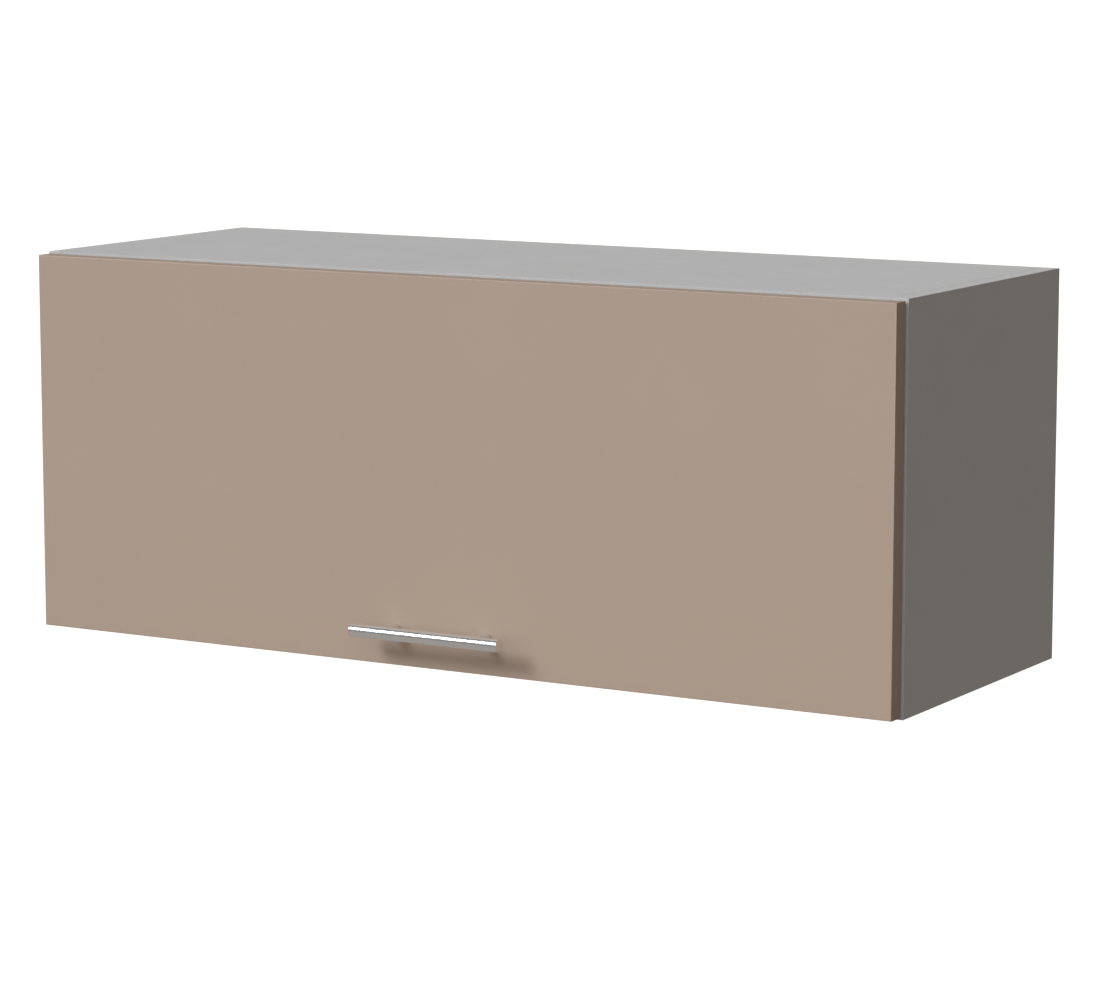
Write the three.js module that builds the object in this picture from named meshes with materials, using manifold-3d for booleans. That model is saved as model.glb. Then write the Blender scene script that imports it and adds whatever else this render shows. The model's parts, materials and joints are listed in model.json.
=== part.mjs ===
// Lift up wall cabinet: a melamine carcass with one flap door that swings up on two concealed
// cup hinges and is held by two gas struts. Millimetres, +Z up, the door faces -Y and the wall
// is at +Y. The origin is the middle of the carcass's rear bottom edge, on the wall's surface.
import * as THREE from 'three';
import { mergeVertices } from 'three/addons/utils/BufferGeometryUtils.js';
import Module from 'manifold-3d';

const wasm = await Module();
wasm.setup();

// ---------------------------------------------------------------- driving dimensions
// Fits
const seatGap = 0.2; // between two pieces that rest on each other
const boreGap = 0.35; // round a pin, dowel, rod or screw in its bore, on the radius

// Carcass
const cabinetWidth = 900;
const cabinetHeight = 360;
const cabinetDepth = 320;
const panelThickness = 16;
const backThickness = 3;
const backGrooveDepth = 7;
const railRecess = 16; // room for the wall rail behind the back panel

// Cam fittings and dowels between the sides and the top and bottom panels
const camDiameter = 15;
const camHeight = 12.5;
const camReach = 34; // from the panel's end to the cam's centre
const camFrontSetback = 50;
const camRearSetback = 50;
const camRim = 0.5; // bevel round the cam's face
const camSlotWidth = 2.2; // of the cross in the cam's face
const camSlotDepth = 3;
const camBoltCollar = 6.8;
const camBoltNeck = 4.2;
const camBoltHead = 6;
const camBoltHeadLength = 3;
const camBoltThread = 5;
const camBoltThreadLength = 11;
const dowelDiameter = 8;
const dowelInSide = 11;
const dowelInPanel = 19;
const dowelEdge = 1;

// Flap door
const doorThickness = 18;
const doorMargin = 2; // reveal of the carcass all round
const doorGap = 1.5; // from the carcass's front edges to the door's back
const doorEdgeRadius = 1;
const bumperDiameter = 9;
const bumperRise = 18; // above the cabinet's underside

// Bar handle
const barDiameter = 12;
const barLength = 156;
const barProjection = 29; // from the door's front to the bar's axis
const barHeight = 34.5; // from the door's lower edge to the bar's axis
const barEdge = 0.6;
const postSpacing = 96;
const postDiameter = 8;
const handleScrewDiameter = 4;
const handleScrewHead = 8;
const handleScrewHeadHeight = 2.4;
const handleScrewSlot = 1; // width of the cross in its head
const handleScrewGrip = 10; // of the screw in its post

// Concealed hinges. Their places are given as out from the carcass's front edges
// and down from the top panel's underside.
const hingeSetback = 100; // from the cabinet's end to the hinge's middle
const cupDiameter = 35;
const cupDepth = 12;
const cupWall = 1;
const cupEdge = 3.5; // of door left above the cup
const cupFlange = 0.6;
const cupFlangeDiameter = 35.6;
const cupScrewSpacing = 45;
const cupScrewOffset = 9.5; // below the cup's middle
const cupWingLength = 54;
const cupWingHeight = 11;
const hingeScrewHole = 4.4;
const armWidth = 13.4;
const armSheet = 1.2;
const armRear = 58;
const armFrontWeb = 3; // the channel's web stops this far behind the front edges
const armWebDepth = 12.2;
const armNose = 3;
const hingePinDiameter = 2.4;
const linkEye = 2.6; // radius round a pin of the arm
const outerLinkWidth = 6.8;
const outerLinkRadius = 2;
const innerLinkWidth = 10.2;
const innerLinkSheet = 1.3;
const innerLinkRadius = 1.1;
const innerLinkBow = 2.8;
const bridgeRadius = 0.9; // of the round bridge that joins the inner link's plates
const outerLinkFixed = { out: 5.41, down: 16.9 };
const outerLinkFree = { out: 4.5, down: -4 };
const innerLinkFixed = { out: 7.93, down: 7.9 };
const innerLinkFree = { out: 8, down: -6 };
const innerLinkBridge = { out: 8.5, down: -6.8 };
const plateScrewLine = 37; // from the carcass's front edges
const plateScrewSpacing = 32;
const plateLength = 52;
const plateBreadth = 14;
const plateSheet = 2;
const plateSpineWidth = 10.2;
const plateSpineFront = 16;
const plateSpineRear = 60;
const plateSpineLead = 3; // slope at both ends of the spine
const plateScrewDiameter = 4;
const plateScrewHead = 7.4;
const plateScrewHeadHeight = 1.6;
const plateScrewLength = 11;
const screwCrown = 0.8; // bevel round the head of every screw

// Gas struts, in the hinges' out and down
const strutInset = 14; // from the side panel's inner face to the strut's axis
const strutOnSide = { out: -100, down: 190 };
const strutOnDoor = { out: -22, down: 55 };
const tubeDiameter = 18;
const tubeStart = 12; // from the lower ball to the tube
const tubeLength = 106;
const tubeFloor = 8;
const tubeEdge = 1.2;
const rodInTube = 2; // from the bore's floor to the rod's end
const rodDiameter = 8;
const socketDiameter = 12;
const socketLength = 10;
const ballDiameter = 8;
const studDiameter = 5;
const bracketSheet = 2;
const bracketWidth = 20;
const bracketHeight = 46;
const bracketCorner = 4;
const doorBracketWidth = 26;
const doorBracketHeight = 40;
const doorTabOffset = 8.5; // from the strut's axis to the tab that carries the stud
const doorTabRadius = 7;

// Wall hangers in the upper rear corners
const hangerWidth = 17;
const hangerHeight = 58;
const hangerDepth = 54;
const hangerDrop = 2; // below the top panel
const hangerRounding = 9;
const adjusterDiameter = 6;
const adjusterDepth = 16;
const adjusterSpacing = 26;
const hookWidth = 10;
const hookHeight = 10;
const hookDrop = 24; // from the top panel's underside to the face that bears on the rail
const hookLip = 14;
const hookSheet = 4;
const hookTail = 15; // of the hook inside its housing
const hookStep = 1.5; // of the tail's underside above the face that bears on the rail
const hookShoulder = 0.5; // from the housing to that face
const wallClearance = 3;
const hangerCutoutWidth = 21;
const hangerCutoutHeight = 62;

// ---------------------------------------------------------------- derived places
const innerHalfWidth = cabinetWidth / 2 - panelThickness;
const topUnderside = cabinetHeight - panelThickness;
const frontEdge = -cabinetDepth;
const backFront = -(railRecess + backThickness);
const doorBack = frontEdge - doorGap;
const doorFront = doorBack - doorThickness;
const doorBottom = doorMargin;
const doorTop = cabinetHeight - doorMargin;
const hingeX = cabinetWidth / 2 - hingeSetback;
const strutX = innerHalfWidth - strutInset;
const camX = innerHalfWidth - camReach;
const camYs = [frontEdge + camFrontSetback, -camRearSetback];
const dowelY = (camYs[0] + camYs[1]) / 2;
const cupDown = topUnderside - doorTop + cupEdge + cupDiameter / 2;

// ---------------------------------------------------------------- materials
const finish = (color, roughness, metalness) =>
  new THREE.MeshStandardMaterial({ color, roughness, metalness });
const materials = {
  carcassBoard: finish(0xc9c6c5, 0.55, 0),
  backBoard: finish(0xd2cfca, 0.7, 0),
  doorBoard: finish(0xaa998a, 0.45, 0),
  brushedSteel: finish(0xb9b7b4, 0.32, 1),
  platedSteel: finish(0xc4c4c2, 0.3, 1),
  zincAlloy: finish(0x9fa0a1, 0.45, 1),
  beech: finish(0xcfae82, 0.75, 0),
  greyPlastic: finish(0xb4b5b5, 0.5, 0),
  paintedTube: finish(0xa8aaab, 0.4, 0.2),
  softRubber: finish(0xdedede, 0.6, 0),
};

// ---------------------------------------------------------------- shapes and solids
const polygon = (points) => new THREE.Shape(points.map(([x, y]) => new THREE.Vector2(x, y)));

function roundedRectangle(x0, y0, x1, y1, radius) {
  const shape = new THREE.Shape();
  shape.absarc(x1 - radius, y0 + radius, radius, -Math.PI / 2, 0);
  shape.absarc(x1 - radius, y1 - radius, radius, 0, Math.PI / 2);
  shape.absarc(x0 + radius, y1 - radius, radius, Math.PI / 2, Math.PI);
  shape.absarc(x0 + radius, y0 + radius, radius, Math.PI, 1.5 * Math.PI);
  return shape;
}

// A straight bar with round ends about a and b
function roundEndedBar(a, b, radius) {
  const angle = Math.atan2(b.y - a.y, b.x - a.x);
  const shape = new THREE.Shape();
  shape.absarc(b.x, b.y, radius, angle - Math.PI / 2, angle + Math.PI / 2);
  shape.absarc(a.x, a.y, radius, angle + Math.PI / 2, angle + 1.5 * Math.PI);
  return shape;
}

// A bowed bar from a to b, its middle moved to the left of that direction by bow
function bowedBar(a, b, bow, halfWidth) {
  const along = b.clone().sub(a);
  const left = new THREE.Vector2(-along.y, along.x).normalize();
  const radius = (along.lengthSq() / 4 + bow * bow) / (2 * bow);
  const centre = a.clone().add(b).multiplyScalar(0.5).addScaledVector(left, bow - radius);
  const angleA = Math.atan2(a.y - centre.y, a.x - centre.x);
  const sweep = 2 * Math.asin(along.length() / 2 / radius);
  const angleB = angleA - sweep;
  const shape = new THREE.Shape();
  shape.absarc(centre.x, centre.y, radius + halfWidth, angleA, angleB, true);
  shape.absarc(b.x, b.y, halfWidth, angleB, angleB - Math.PI, true);
  shape.absarc(centre.x, centre.y, radius - halfWidth, angleB, angleA, false);
  shape.absarc(a.x, a.y, halfWidth, angleA + Math.PI, angleA, true);
  return shape;
}

// Extrusions of a shape along one axis, between two places on it. The shape is drawn in
// Y and Z for alongX, in X and Z for alongY, and in X and Y for alongZ.
const axisX = new THREE.Vector3(1, 0, 0);
const axisY = new THREE.Vector3(0, 1, 0);
const axisZ = new THREE.Vector3(0, 0, 1);

function extrude(shape, length, arcSteps) {
  return new THREE.ExtrudeGeometry(shape, { depth: length, bevelEnabled: false, curveSegments: arcSteps });
}

function alongX(shape, from, to, arcSteps = 3) {
  const basis = new THREE.Matrix4().makeBasis(axisY, axisZ, axisX);
  return extrude(shape, to - from, arcSteps).applyMatrix4(basis).translate(from, 0, 0);
}

function alongY(shape, from, to, arcSteps = 3) {
  const basis = new THREE.Matrix4().makeBasis(axisX, axisZ, axisY.clone().negate());
  return extrude(shape, to - from, arcSteps).applyMatrix4(basis).translate(0, to, 0);
}

function alongZ(shape, from, to, arcSteps = 3) {
  return extrude(shape, to - from, arcSteps).translate(0, 0, from);
}

function block(x0, x1, y0, y1, z0, z1) {
  return alongZ(polygon([[x0, y0], [x1, y0], [x1, y1], [x0, y1]]), z0, z1);
}

// A cylinder between two points
function rod(radius, from, to, sides = 16) {
  const start = new THREE.Vector3(...from);
  const span = new THREE.Vector3(...to).sub(start);
  const turn = new THREE.Quaternion().setFromUnitVectors(axisY, span.clone().normalize());
  const geometry = new THREE.CylinderGeometry(radius, radius, span.length(), sides);
  return geometry.translate(0, span.length() / 2, 0).applyQuaternion(turn).translate(...start.toArray());
}

// A profile of [radius, height] turned round the Z axis, outside upwards and inside downwards
function turned(profile, sides = 16) {
  const points = profile.map(([radius, height]) => new THREE.Vector2(radius, height));
  return new THREE.LatheGeometry(points, sides).rotateX(Math.PI / 2);
}

function solidOf(geometry) {
  const plain = geometry.clone();
  plain.deleteAttribute('normal');
  plain.deleteAttribute('uv');
  const merged = mergeVertices(plain, 1e-5);
  return new wasm.Manifold(new wasm.Mesh({
    numProp: 3,
    vertProperties: new Float32Array(merged.attributes.position.array),
    triVerts: new Uint32Array(merged.index.array),
  }));
}

function geometryOf(solid) {
  const mesh = solid.getMesh();
  const geometry = new THREE.BufferGeometry();
  geometry.setAttribute('position', new THREE.BufferAttribute(new Float32Array(mesh.vertProperties), 3));
  geometry.setIndex(new THREE.BufferAttribute(new Uint32Array(mesh.triVerts), 1));
  geometry.computeVertexNormals();
  return geometry;
}

const joined = (...parts) => geometryOf(parts.map(solidOf).reduce((sum, part) => sum.add(part)));
const cut = (body, ...tools) =>
  geometryOf(tools.map(solidOf).reduce((rest, tool) => rest.subtract(tool), solidOf(body)));

// A named piece added to a group, at a place and turned by Euler angles
function addPiece(group, name, geometry, material, place = [0, 0, 0], turn = [0, 0, 0]) {
  const mesh = new THREE.Mesh(geometry, material);
  mesh.name = name;
  mesh.position.set(...place);
  mesh.rotation.set(...turn);
  group.add(mesh);
}

const bothSides = [{ name: 'left', sign: -1 }, { name: 'right', sign: 1 }];

// Facets round the small, the middling and the large round bodies
const smallSides = 12;
const middleSides = 24;
const largeSides = 32;

// ---------------------------------------------------------------- carcass panels
const camBoltBore = camBoltCollar / 2 + boreGap;
const threadBore = camBoltThread / 2 + boreGap;
const dowelBore = dowelDiameter / 2 + boreGap;
const halfPanel = panelThickness / 2;

// The right side panel, with its back groove and the bores for bolts and dowels.
// Its local X runs outwards from its inner face.
function sidePanelGeometry() {
  const grooveFront = backFront - seatGap;
  const grooveRear = -railRecess + seatGap;
  const groove = backGrooveDepth + seatGap;
  const plan = polygon([
    [0, frontEdge], [panelThickness, frontEdge], [panelThickness, 0], [0, 0],
    [0, grooveRear], [groove, grooveRear], [groove, grooveFront], [0, grooveFront],
  ]);
  const bores = [];
  for (const z of [halfPanel, cabinetHeight - halfPanel]) {
    for (const y of camYs) {
      bores.push(rod(threadBore, [-1, y, z], [camBoltThreadLength + seatGap, y, z], smallSides));
    }
    bores.push(rod(dowelBore, [-1, dowelY, z], [dowelInSide + seatGap, dowelY, z]));
  }
  return cut(alongZ(plan, 0, cabinetHeight), ...bores);
}

// The bottom panel between the sides, seen from inside the cabinet: its upper face has the
// groove and the cam pockets. The top panel is the same piece, turned over.
function levelPanelGeometry(extraBores) {
  const end = innerHalfWidth - seatGap;
  const grooveFront = backFront - seatGap;
  const grooveRear = -railRecess + seatGap;
  const grooveFloor = panelThickness - backGrooveDepth - seatGap;
  const section = polygon([
    [frontEdge, 0], [0, 0], [0, panelThickness], [grooveRear, panelThickness],
    [grooveRear, grooveFloor], [grooveFront, grooveFloor], [grooveFront, panelThickness],
    [frontEdge, panelThickness],
  ]);
  const bores = [...extraBores];
  for (const sign of [-1, 1]) {
    const mouth = sign * (innerHalfWidth + 1);
    for (const y of camYs) {
      const floor = panelThickness - camHeight - seatGap;
      const pocket = camDiameter / 2 + boreGap;
      const x = sign * camX;
      bores.push(rod(pocket, [x, y, floor], [x, y, panelThickness + 1], middleSides));
      bores.push(rod(camBoltBore, [x, y, halfPanel], [mouth, y, halfPanel]));
    }
    const dowelEnd = sign * (innerHalfWidth - dowelInPanel - seatGap);
    bores.push(rod(dowelBore, [dowelEnd, dowelY, halfPanel], [mouth, dowelY, halfPanel]));
  }
  return cut(alongX(section, -end, end), ...bores);
}

// The thin back panel in its grooves, with its upper corners cut out for the hanger hooks
function backPanelGeometry() {
  const reach = backGrooveDepth - seatGap;
  const halfWidth = innerHalfWidth + reach;
  const bottom = panelThickness - reach;
  const top = topUnderside + reach;
  const cutX = innerHalfWidth - hangerCutoutWidth;
  const cutZ = topUnderside - hangerCutoutHeight;
  const outline = polygon([
    [-halfWidth, bottom], [halfWidth, bottom], [halfWidth, cutZ], [cutX, cutZ], [cutX, top],
    [-cutX, top], [-cutX, cutZ], [-halfWidth, cutZ],
  ]);
  return alongY(outline, backFront, -railRecess);
}

function addCarcass(group) {
  const side = sidePanelGeometry();
  addPiece(group, 'side_panel_right', side, materials.carcassBoard, [innerHalfWidth, 0, 0]);
  const mirrored = geometryOf(solidOf(side).mirror([1, 0, 0]));
  addPiece(group, 'side_panel_left', mirrored, materials.carcassBoard, [-innerHalfWidth, 0, 0]);
  addPiece(group, 'bottom_panel', levelPanelGeometry([]), materials.carcassBoard);
  addPiece(group, 'top_panel', levelPanelGeometry(plateScrewBores()), materials.carcassBoard,
    [0, 0, cabinetHeight], [0, Math.PI, 0]);
  addPiece(group, 'back_panel', backPanelGeometry(), materials.backBoard);
}

// Bores for the hinge plates' screws, in the level panel's own frame
function plateScrewBores() {
  const radius = plateScrewDiameter / 2 + boreGap;
  const y = frontEdge + plateScrewLine;
  const depth = plateScrewLength + seatGap;
  const xs = [];
  for (const middle of [-hingeX, hingeX]) {
    xs.push(middle - plateScrewSpacing / 2, middle + plateScrewSpacing / 2);
  }
  const mouth = panelThickness + 1;
  return xs.map((x) => rod(radius, [x, y, mouth - 1 - depth], [x, y, mouth], smallSides));
}

// ---------------------------------------------------------------- cam fittings and dowels
// Cam lock with its face up at Z 0 and its bolt's channel open towards +X
function camGeometry() {
  const radius = camDiameter / 2;
  const slotHalf = camSlotWidth / 2;
  const slotReach = radius - camSlotWidth;
  const body = turned([
    [0, -camHeight], [radius, -camHeight], [radius, -camRim], [radius - camRim, 0], [0, 0],
  ], middleSides);
  const channel = rod(camBoltBore, [-camBoltHeadLength, 0, -halfPanel], [radius + 1, 0, -halfPanel]);
  const slots = [
    block(-slotReach, slotReach, -slotHalf, slotHalf, -camSlotDepth, 1),
    block(-slotHalf, slotHalf, -slotReach, slotReach, -camSlotDepth, 1),
  ];
  return cut(body, channel, ...slots);
}

// Connecting bolt along Z: its thread below Z 0, its head in the cam at the far end
function camBoltGeometry() {
  const thread = camBoltThread / 2;
  const collar = camBoltCollar / 2;
  const neck = camBoltNeck / 2;
  const head = camBoltHead / 2;
  const headEnd = camReach + camBoltHeadLength / 2;
  const headStart = headEnd - camBoltHeadLength;
  const neckStart = headStart - camBoltHeadLength;
  return turned([
    [0, -camBoltThreadLength], [thread / 2, -camBoltThreadLength],
    [thread, thread / 2 - camBoltThreadLength], [thread, 0], [collar, 0], [collar, neckStart],
    [neck, neckStart], [neck, headStart], [head, headStart], [head, headEnd], [0, headEnd],
  ], smallSides);
}

function dowelGeometry() {
  const radius = dowelDiameter / 2;
  const tip = radius - dowelEdge;
  return turned([
    [0, -dowelInSide], [tip, -dowelInSide], [radius, dowelEdge - dowelInSide],
    [radius, dowelInPanel - dowelEdge], [tip, dowelInPanel], [0, dowelInPanel],
  ], smallSides);
}

function addFittings(group) {
  const cam = camGeometry();
  const bolt = camBoltGeometry();
  const dowel = dowelGeometry();
  const levels = [
    { name: 'bottom', face: panelThickness, z: halfPanel, flip: 0 },
    { name: 'top', face: topUnderside, z: cabinetHeight - halfPanel, flip: Math.PI },
  ];
  const depths = [{ name: 'front', y: camYs[0] }, { name: 'rear', y: camYs[1] }];
  for (const { name: level, face, z, flip } of levels) {
    for (const { name: side, sign } of bothSides) {
      const inwards = [0, -sign * Math.PI / 2, 0];
      for (const { name: depth, y } of depths) {
        const facing = [flip, 0, sign > 0 ? 0 : Math.PI];
        addPiece(group, `cam_${level}_${side}_${depth}`, cam, materials.zincAlloy,
          [sign * camX, y, face], facing);
        addPiece(group, `cam_bolt_${level}_${side}_${depth}`, bolt, materials.platedSteel,
          [sign * innerHalfWidth, y, z], inwards);
      }
      addPiece(group, `dowel_${level}_${side}`, dowel, materials.beech,
        [sign * innerHalfWidth, dowelY, z], inwards);
    }
  }
}

// ---------------------------------------------------------------- concealed hinges
// The hinge's own frame has its origin on the carcass's front edge at the top panel's
// underside. A spot is a point of the side view, in Y and Z.
const spot = ({ out, down }) => new THREE.Vector2(-out, -down);
const pinBore = hingePinDiameter / 2 + boreGap;

// A cylinder across the hinge at a spot
function crossRod(radius, at, halfLength) {
  return rod(radius, [-halfLength, at.x, at.y], [halfLength, at.x, at.y], smallSides);
}

// Pressed steel channel that is open to the top panel, with a nose that reaches into the cup.
// Its outer pin crosses the nose; its inner pin is a stub on each side, clear of the outer link.
function hingeArmGeometry() {
  const inner = spot(innerLinkFixed);
  const outer = spot(outerLinkFixed);
  const half = armWidth / 2;
  const pin = hingePinDiameter / 2;
  const nose = new THREE.Shape();
  nose.moveTo(armRear, inner.y + armNose);
  nose.absarc(inner.x, inner.y, armNose, Math.PI / 2, Math.PI);
  nose.absarc(outer.x, outer.y, armNose, Math.PI, 1.5 * Math.PI);
  nose.lineTo(2 * armFrontWeb, -armWebDepth);
  nose.lineTo(armRear, -armWebDepth);
  nose.closePath();
  const stubEnd = innerLinkWidth / 2 - innerLinkSheet;
  const pinEnd = half - armSheet / 2;
  const stubs = [-1, 1].map((sign) =>
    rod(pin, [sign * stubEnd, inner.x, inner.y], [sign * pinEnd, inner.x, inner.y], smallSides));
  return joined(
    alongX(nose, half - armSheet, half),
    alongX(nose, -half, armSheet - half),
    block(-half, half, armFrontWeb, armRear, -armWebDepth, armSheet - armWebDepth),
    crossRod(pin, outer, pinEnd),
    ...stubs,
  );
}

// One solid bar on the arm's outer pin
function outerLinkGeometry() {
  const fixed = spot(outerLinkFixed);
  const half = outerLinkWidth / 2;
  const bar = roundEndedBar(fixed, spot(outerLinkFree), outerLinkRadius);
  const body = joined(alongX(bar, -half, half), crossRod(linkEye, fixed, half));
  return cut(body, crossRod(pinBore, fixed, half + 1));
}

// Two bowed plates outside the outer link, which pass round the cup's rim when the flap is
// up, and the bridge that joins them in the cup, beyond the reach of the outer link's end
function innerLinkGeometry() {
  const fixed = spot(innerLinkFixed);
  const free = spot(innerLinkFree);
  const outside = innerLinkWidth / 2;
  const inside = outside - innerLinkSheet;
  const plate = bowedBar(fixed, free, innerLinkBow, innerLinkRadius);
  const cheeks = [];
  for (const [from, to] of [[inside, outside], [-outside, -inside]]) {
    cheeks.push(alongX(plate, from, to));
    cheeks.push(rod(linkEye, [from, fixed.x, fixed.y], [to, fixed.x, fixed.y], smallSides));
  }
  const body = joined(...cheeks, crossRod(bridgeRadius, spot(innerLinkBridge), outside));
  return cut(body, crossRod(pinBore, fixed, outside + 1));
}

// Drawn steel cup with a flange on the door's back and a wing for its two screws
function cupGeometry() {
  const outer = cupDiameter / 2;
  const inner = outer - cupWall;
  const flange = cupFlangeDiameter / 2;
  const proud = -(seatGap + cupFlange);
  const floor = cupDepth - seatGap;
  const bowl = turned([
    [0, proud], [flange, proud], [flange, -seatGap], [outer, -seatGap], [outer, floor - cupWall],
    [outer - cupWall, floor], [0, floor],
  ], largeSides);
  const wingBottom = -cupScrewOffset - cupWingHeight / 2;
  const wing = roundedRectangle(-cupWingLength / 2, wingBottom, cupWingLength / 2,
    wingBottom + cupWingHeight, cupWingHeight / 2 - 1);
  const hollow = turned([
    [0, proud - 1], [inner, proud - 1], [inner, floor - 2 * cupWall],
    [inner - cupWall, floor - cupWall], [0, floor - cupWall],
  ], largeSides);
  const holes = [-1, 1].map((sign) => {
    const x = sign * cupScrewSpacing / 2;
    return rod(hingeScrewHole / 2, [x, -cupScrewOffset, proud - 1], [x, -cupScrewOffset, 1], smallSides);
  });
  return cut(joined(bowl, alongZ(wing, proud, -seatGap)), hollow, ...holes);
}

// Mounting plate: a screwed wing and the spine that the arm clips over
function hingePlateGeometry() {
  const low = -(seatGap + plateSheet);
  const wing = roundedRectangle(-plateLength / 2, plateScrewLine - plateBreadth / 2,
    plateLength / 2, plateScrewLine + plateBreadth / 2, plateBreadth / 2 - 1);
  const spineLow = armSheet - armWebDepth + boreGap;
  const spineFront = plateSpineFront + plateSpineLead;
  const spineRear = plateSpineRear - plateSpineLead;
  const spine = polygon([
    [plateSpineFront, low], [spineFront, spineLow], [spineRear, spineLow],
    [plateSpineRear, low], [plateSpineRear, -seatGap], [plateSpineFront, -seatGap],
  ]);
  const body = joined(
    alongZ(wing, low, -seatGap),
    alongX(spine, -plateSpineWidth / 2, plateSpineWidth / 2),
  );
  const holes = [-1, 1].map((sign) => {
    const x = sign * plateScrewSpacing / 2;
    const radius = hingeScrewHole / 2 + seatGap;
    return rod(radius, [x, plateScrewLine, low - 1], [x, plateScrewLine, 1], smallSides);
  });
  return cut(body, ...holes);
}

// Wood screw along Z, its head below the plate and its shank in the top panel
function plateScrewGeometry() {
  const head = plateScrewHead / 2;
  const shank = plateScrewDiameter / 2;
  const seat = -(2 * seatGap + plateSheet);
  const face = seat - plateScrewHeadHeight;
  return turned([
    [0, face], [head - screwCrown, face], [head, face + screwCrown], [head, seat], [shank, seat],
    [shank, plateScrewLength - shank], [0, plateScrewLength],
  ], smallSides);
}

function addHinges(group) {
  const arm = hingeArmGeometry();
  const outerLink = outerLinkGeometry();
  const innerLink = innerLinkGeometry();
  const cup = cupGeometry();
  const plate = hingePlateGeometry();
  const screw = plateScrewGeometry();
  for (const { name: side, sign } of bothSides) {
    const hinge = new THREE.Group();
    hinge.position.set(sign * hingeX, frontEdge, topUnderside);
    addPiece(hinge, `hinge_arm_${side}`, arm, materials.platedSteel);
    addPiece(hinge, `hinge_outer_link_${side}`, outerLink, materials.platedSteel);
    addPiece(hinge, `hinge_inner_link_${side}`, innerLink, materials.platedSteel);
    addPiece(hinge, `hinge_cup_${side}`, cup, materials.platedSteel,
      [0, -doorGap, -cupDown], [Math.PI / 2, 0, 0]);
    addPiece(hinge, `hinge_plate_${side}`, plate, materials.zincAlloy);
    for (const { name: end, sign: toEnd } of bothSides) {
      const place = [toEnd * plateScrewSpacing / 2, plateScrewLine, 0];
      addPiece(hinge, `hinge_screw_${side}_${end}`, screw, materials.platedSteel, place);
    }
    group.add(hinge);
  }
}

// ---------------------------------------------------------------- flap door and bar handle
function doorPanelGeometry() {
  const halfWidth = cabinetWidth / 2 - doorMargin;
  const edge = doorEdgeRadius;
  const face = polygon([
    [-halfWidth + edge, doorBottom + edge], [halfWidth - edge, doorBottom + edge],
    [halfWidth - edge, doorTop - edge], [-halfWidth + edge, doorTop - edge],
  ]);
  const slab = new THREE.ExtrudeGeometry(face, {
    depth: doorThickness - 2 * edge, bevelThickness: edge, bevelSize: edge, bevelSegments: 2,
  });
  slab.rotateX(Math.PI / 2).translate(0, doorBack - edge, 0);
  const cupZ = topUnderside - cupDown;
  const pocket = cupDiameter / 2 + boreGap;
  const screwBore = handleScrewDiameter / 2 + boreGap;
  const handleZ = doorBottom + barHeight;
  const tools = [];
  for (const sign of [-1, 1]) {
    const cupX = sign * hingeX;
    const cupFloor = doorBack - cupDepth;
    tools.push(rod(pocket, [cupX, doorBack + 1, cupZ], [cupX, cupFloor, cupZ], largeSides));
    const x = sign * postSpacing / 2;
    tools.push(rod(screwBore, [x, doorBack + 1, handleZ], [x, doorFront - 1, handleZ], smallSides));
  }
  return cut(slab, ...tools);
}

// Bar along X, with its ends broken
function barGeometry() {
  const radius = barDiameter / 2;
  const half = barLength / 2;
  return turned([
    [0, -half], [radius - barEdge, -half], [radius, barEdge - half],
    [radius, half - barEdge], [radius - barEdge, half], [0, half],
  ], largeSides).rotateY(Math.PI / 2);
}

// Post from the door's front to the bar, saddled round the bar and bored for its screw.
// Its local origin is on the door's front, and it stands out along -Y.
function postGeometry() {
  const stem = rod(postDiameter / 2, [0, -seatGap, 0], [0, -barProjection, 0], middleSides);
  const saddle = rod(barDiameter / 2 + seatGap, [-postDiameter, -barProjection, 0],
    [postDiameter, -barProjection, 0], largeSides);
  const bore = handleScrewDiameter / 2 + boreGap;
  return cut(stem, saddle, rod(bore, [0, 1, 0], [0, -handleScrewGrip - 1, 0], smallSides));
}

// Pan-head screw along -Y from the door's back, with a cross recess in its head
function handleScrewGeometry() {
  const shank = handleScrewDiameter / 2;
  const head = handleScrewHead / 2;
  const tip = -(doorThickness + handleScrewGrip);
  const top = seatGap + handleScrewHeadHeight;
  const body = turned([
    [0, tip], [shank, tip], [shank, seatGap], [head, seatGap], [head, top - screwCrown],
    [head - screwCrown, top], [0, top],
  ], smallSides);
  const slotHalf = handleScrewSlot / 2;
  const slotReach = head / 2;
  const floor = seatGap + handleScrewHeadHeight / 3;
  const recess = cut(
    body,
    block(-slotReach, slotReach, -slotHalf, slotHalf, floor, top + 1),
    block(-slotHalf, slotHalf, -slotReach, slotReach, floor, top + 1),
  );
  return recess.rotateX(-Math.PI / 2);
}

function addDoor(group) {
  const handleZ = doorBottom + barHeight;
  const post = postGeometry();
  const screw = handleScrewGeometry();
  addPiece(group, 'door_panel', doorPanelGeometry(), materials.doorBoard);
  addPiece(group, 'handle_bar', barGeometry(), materials.brushedSteel,
    [0, doorFront - barProjection, handleZ]);
  const bumper = rod(bumperDiameter / 2, [0, seatGap - doorGap, 0], [0, -seatGap, 0]);
  for (const { name: side, sign } of bothSides) {
    const x = sign * postSpacing / 2;
    addPiece(group, `handle_post_${side}`, post, materials.brushedSteel, [x, doorFront, handleZ]);
    addPiece(group, `handle_screw_${side}`, screw, materials.platedSteel, [x, doorBack, handleZ]);
    const bumperX = sign * (cabinetWidth / 2 - halfPanel);
    addPiece(group, `door_bumper_${side}`, bumper, materials.softRubber, [bumperX, frontEdge, bumperRise]);
  }
}

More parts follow.
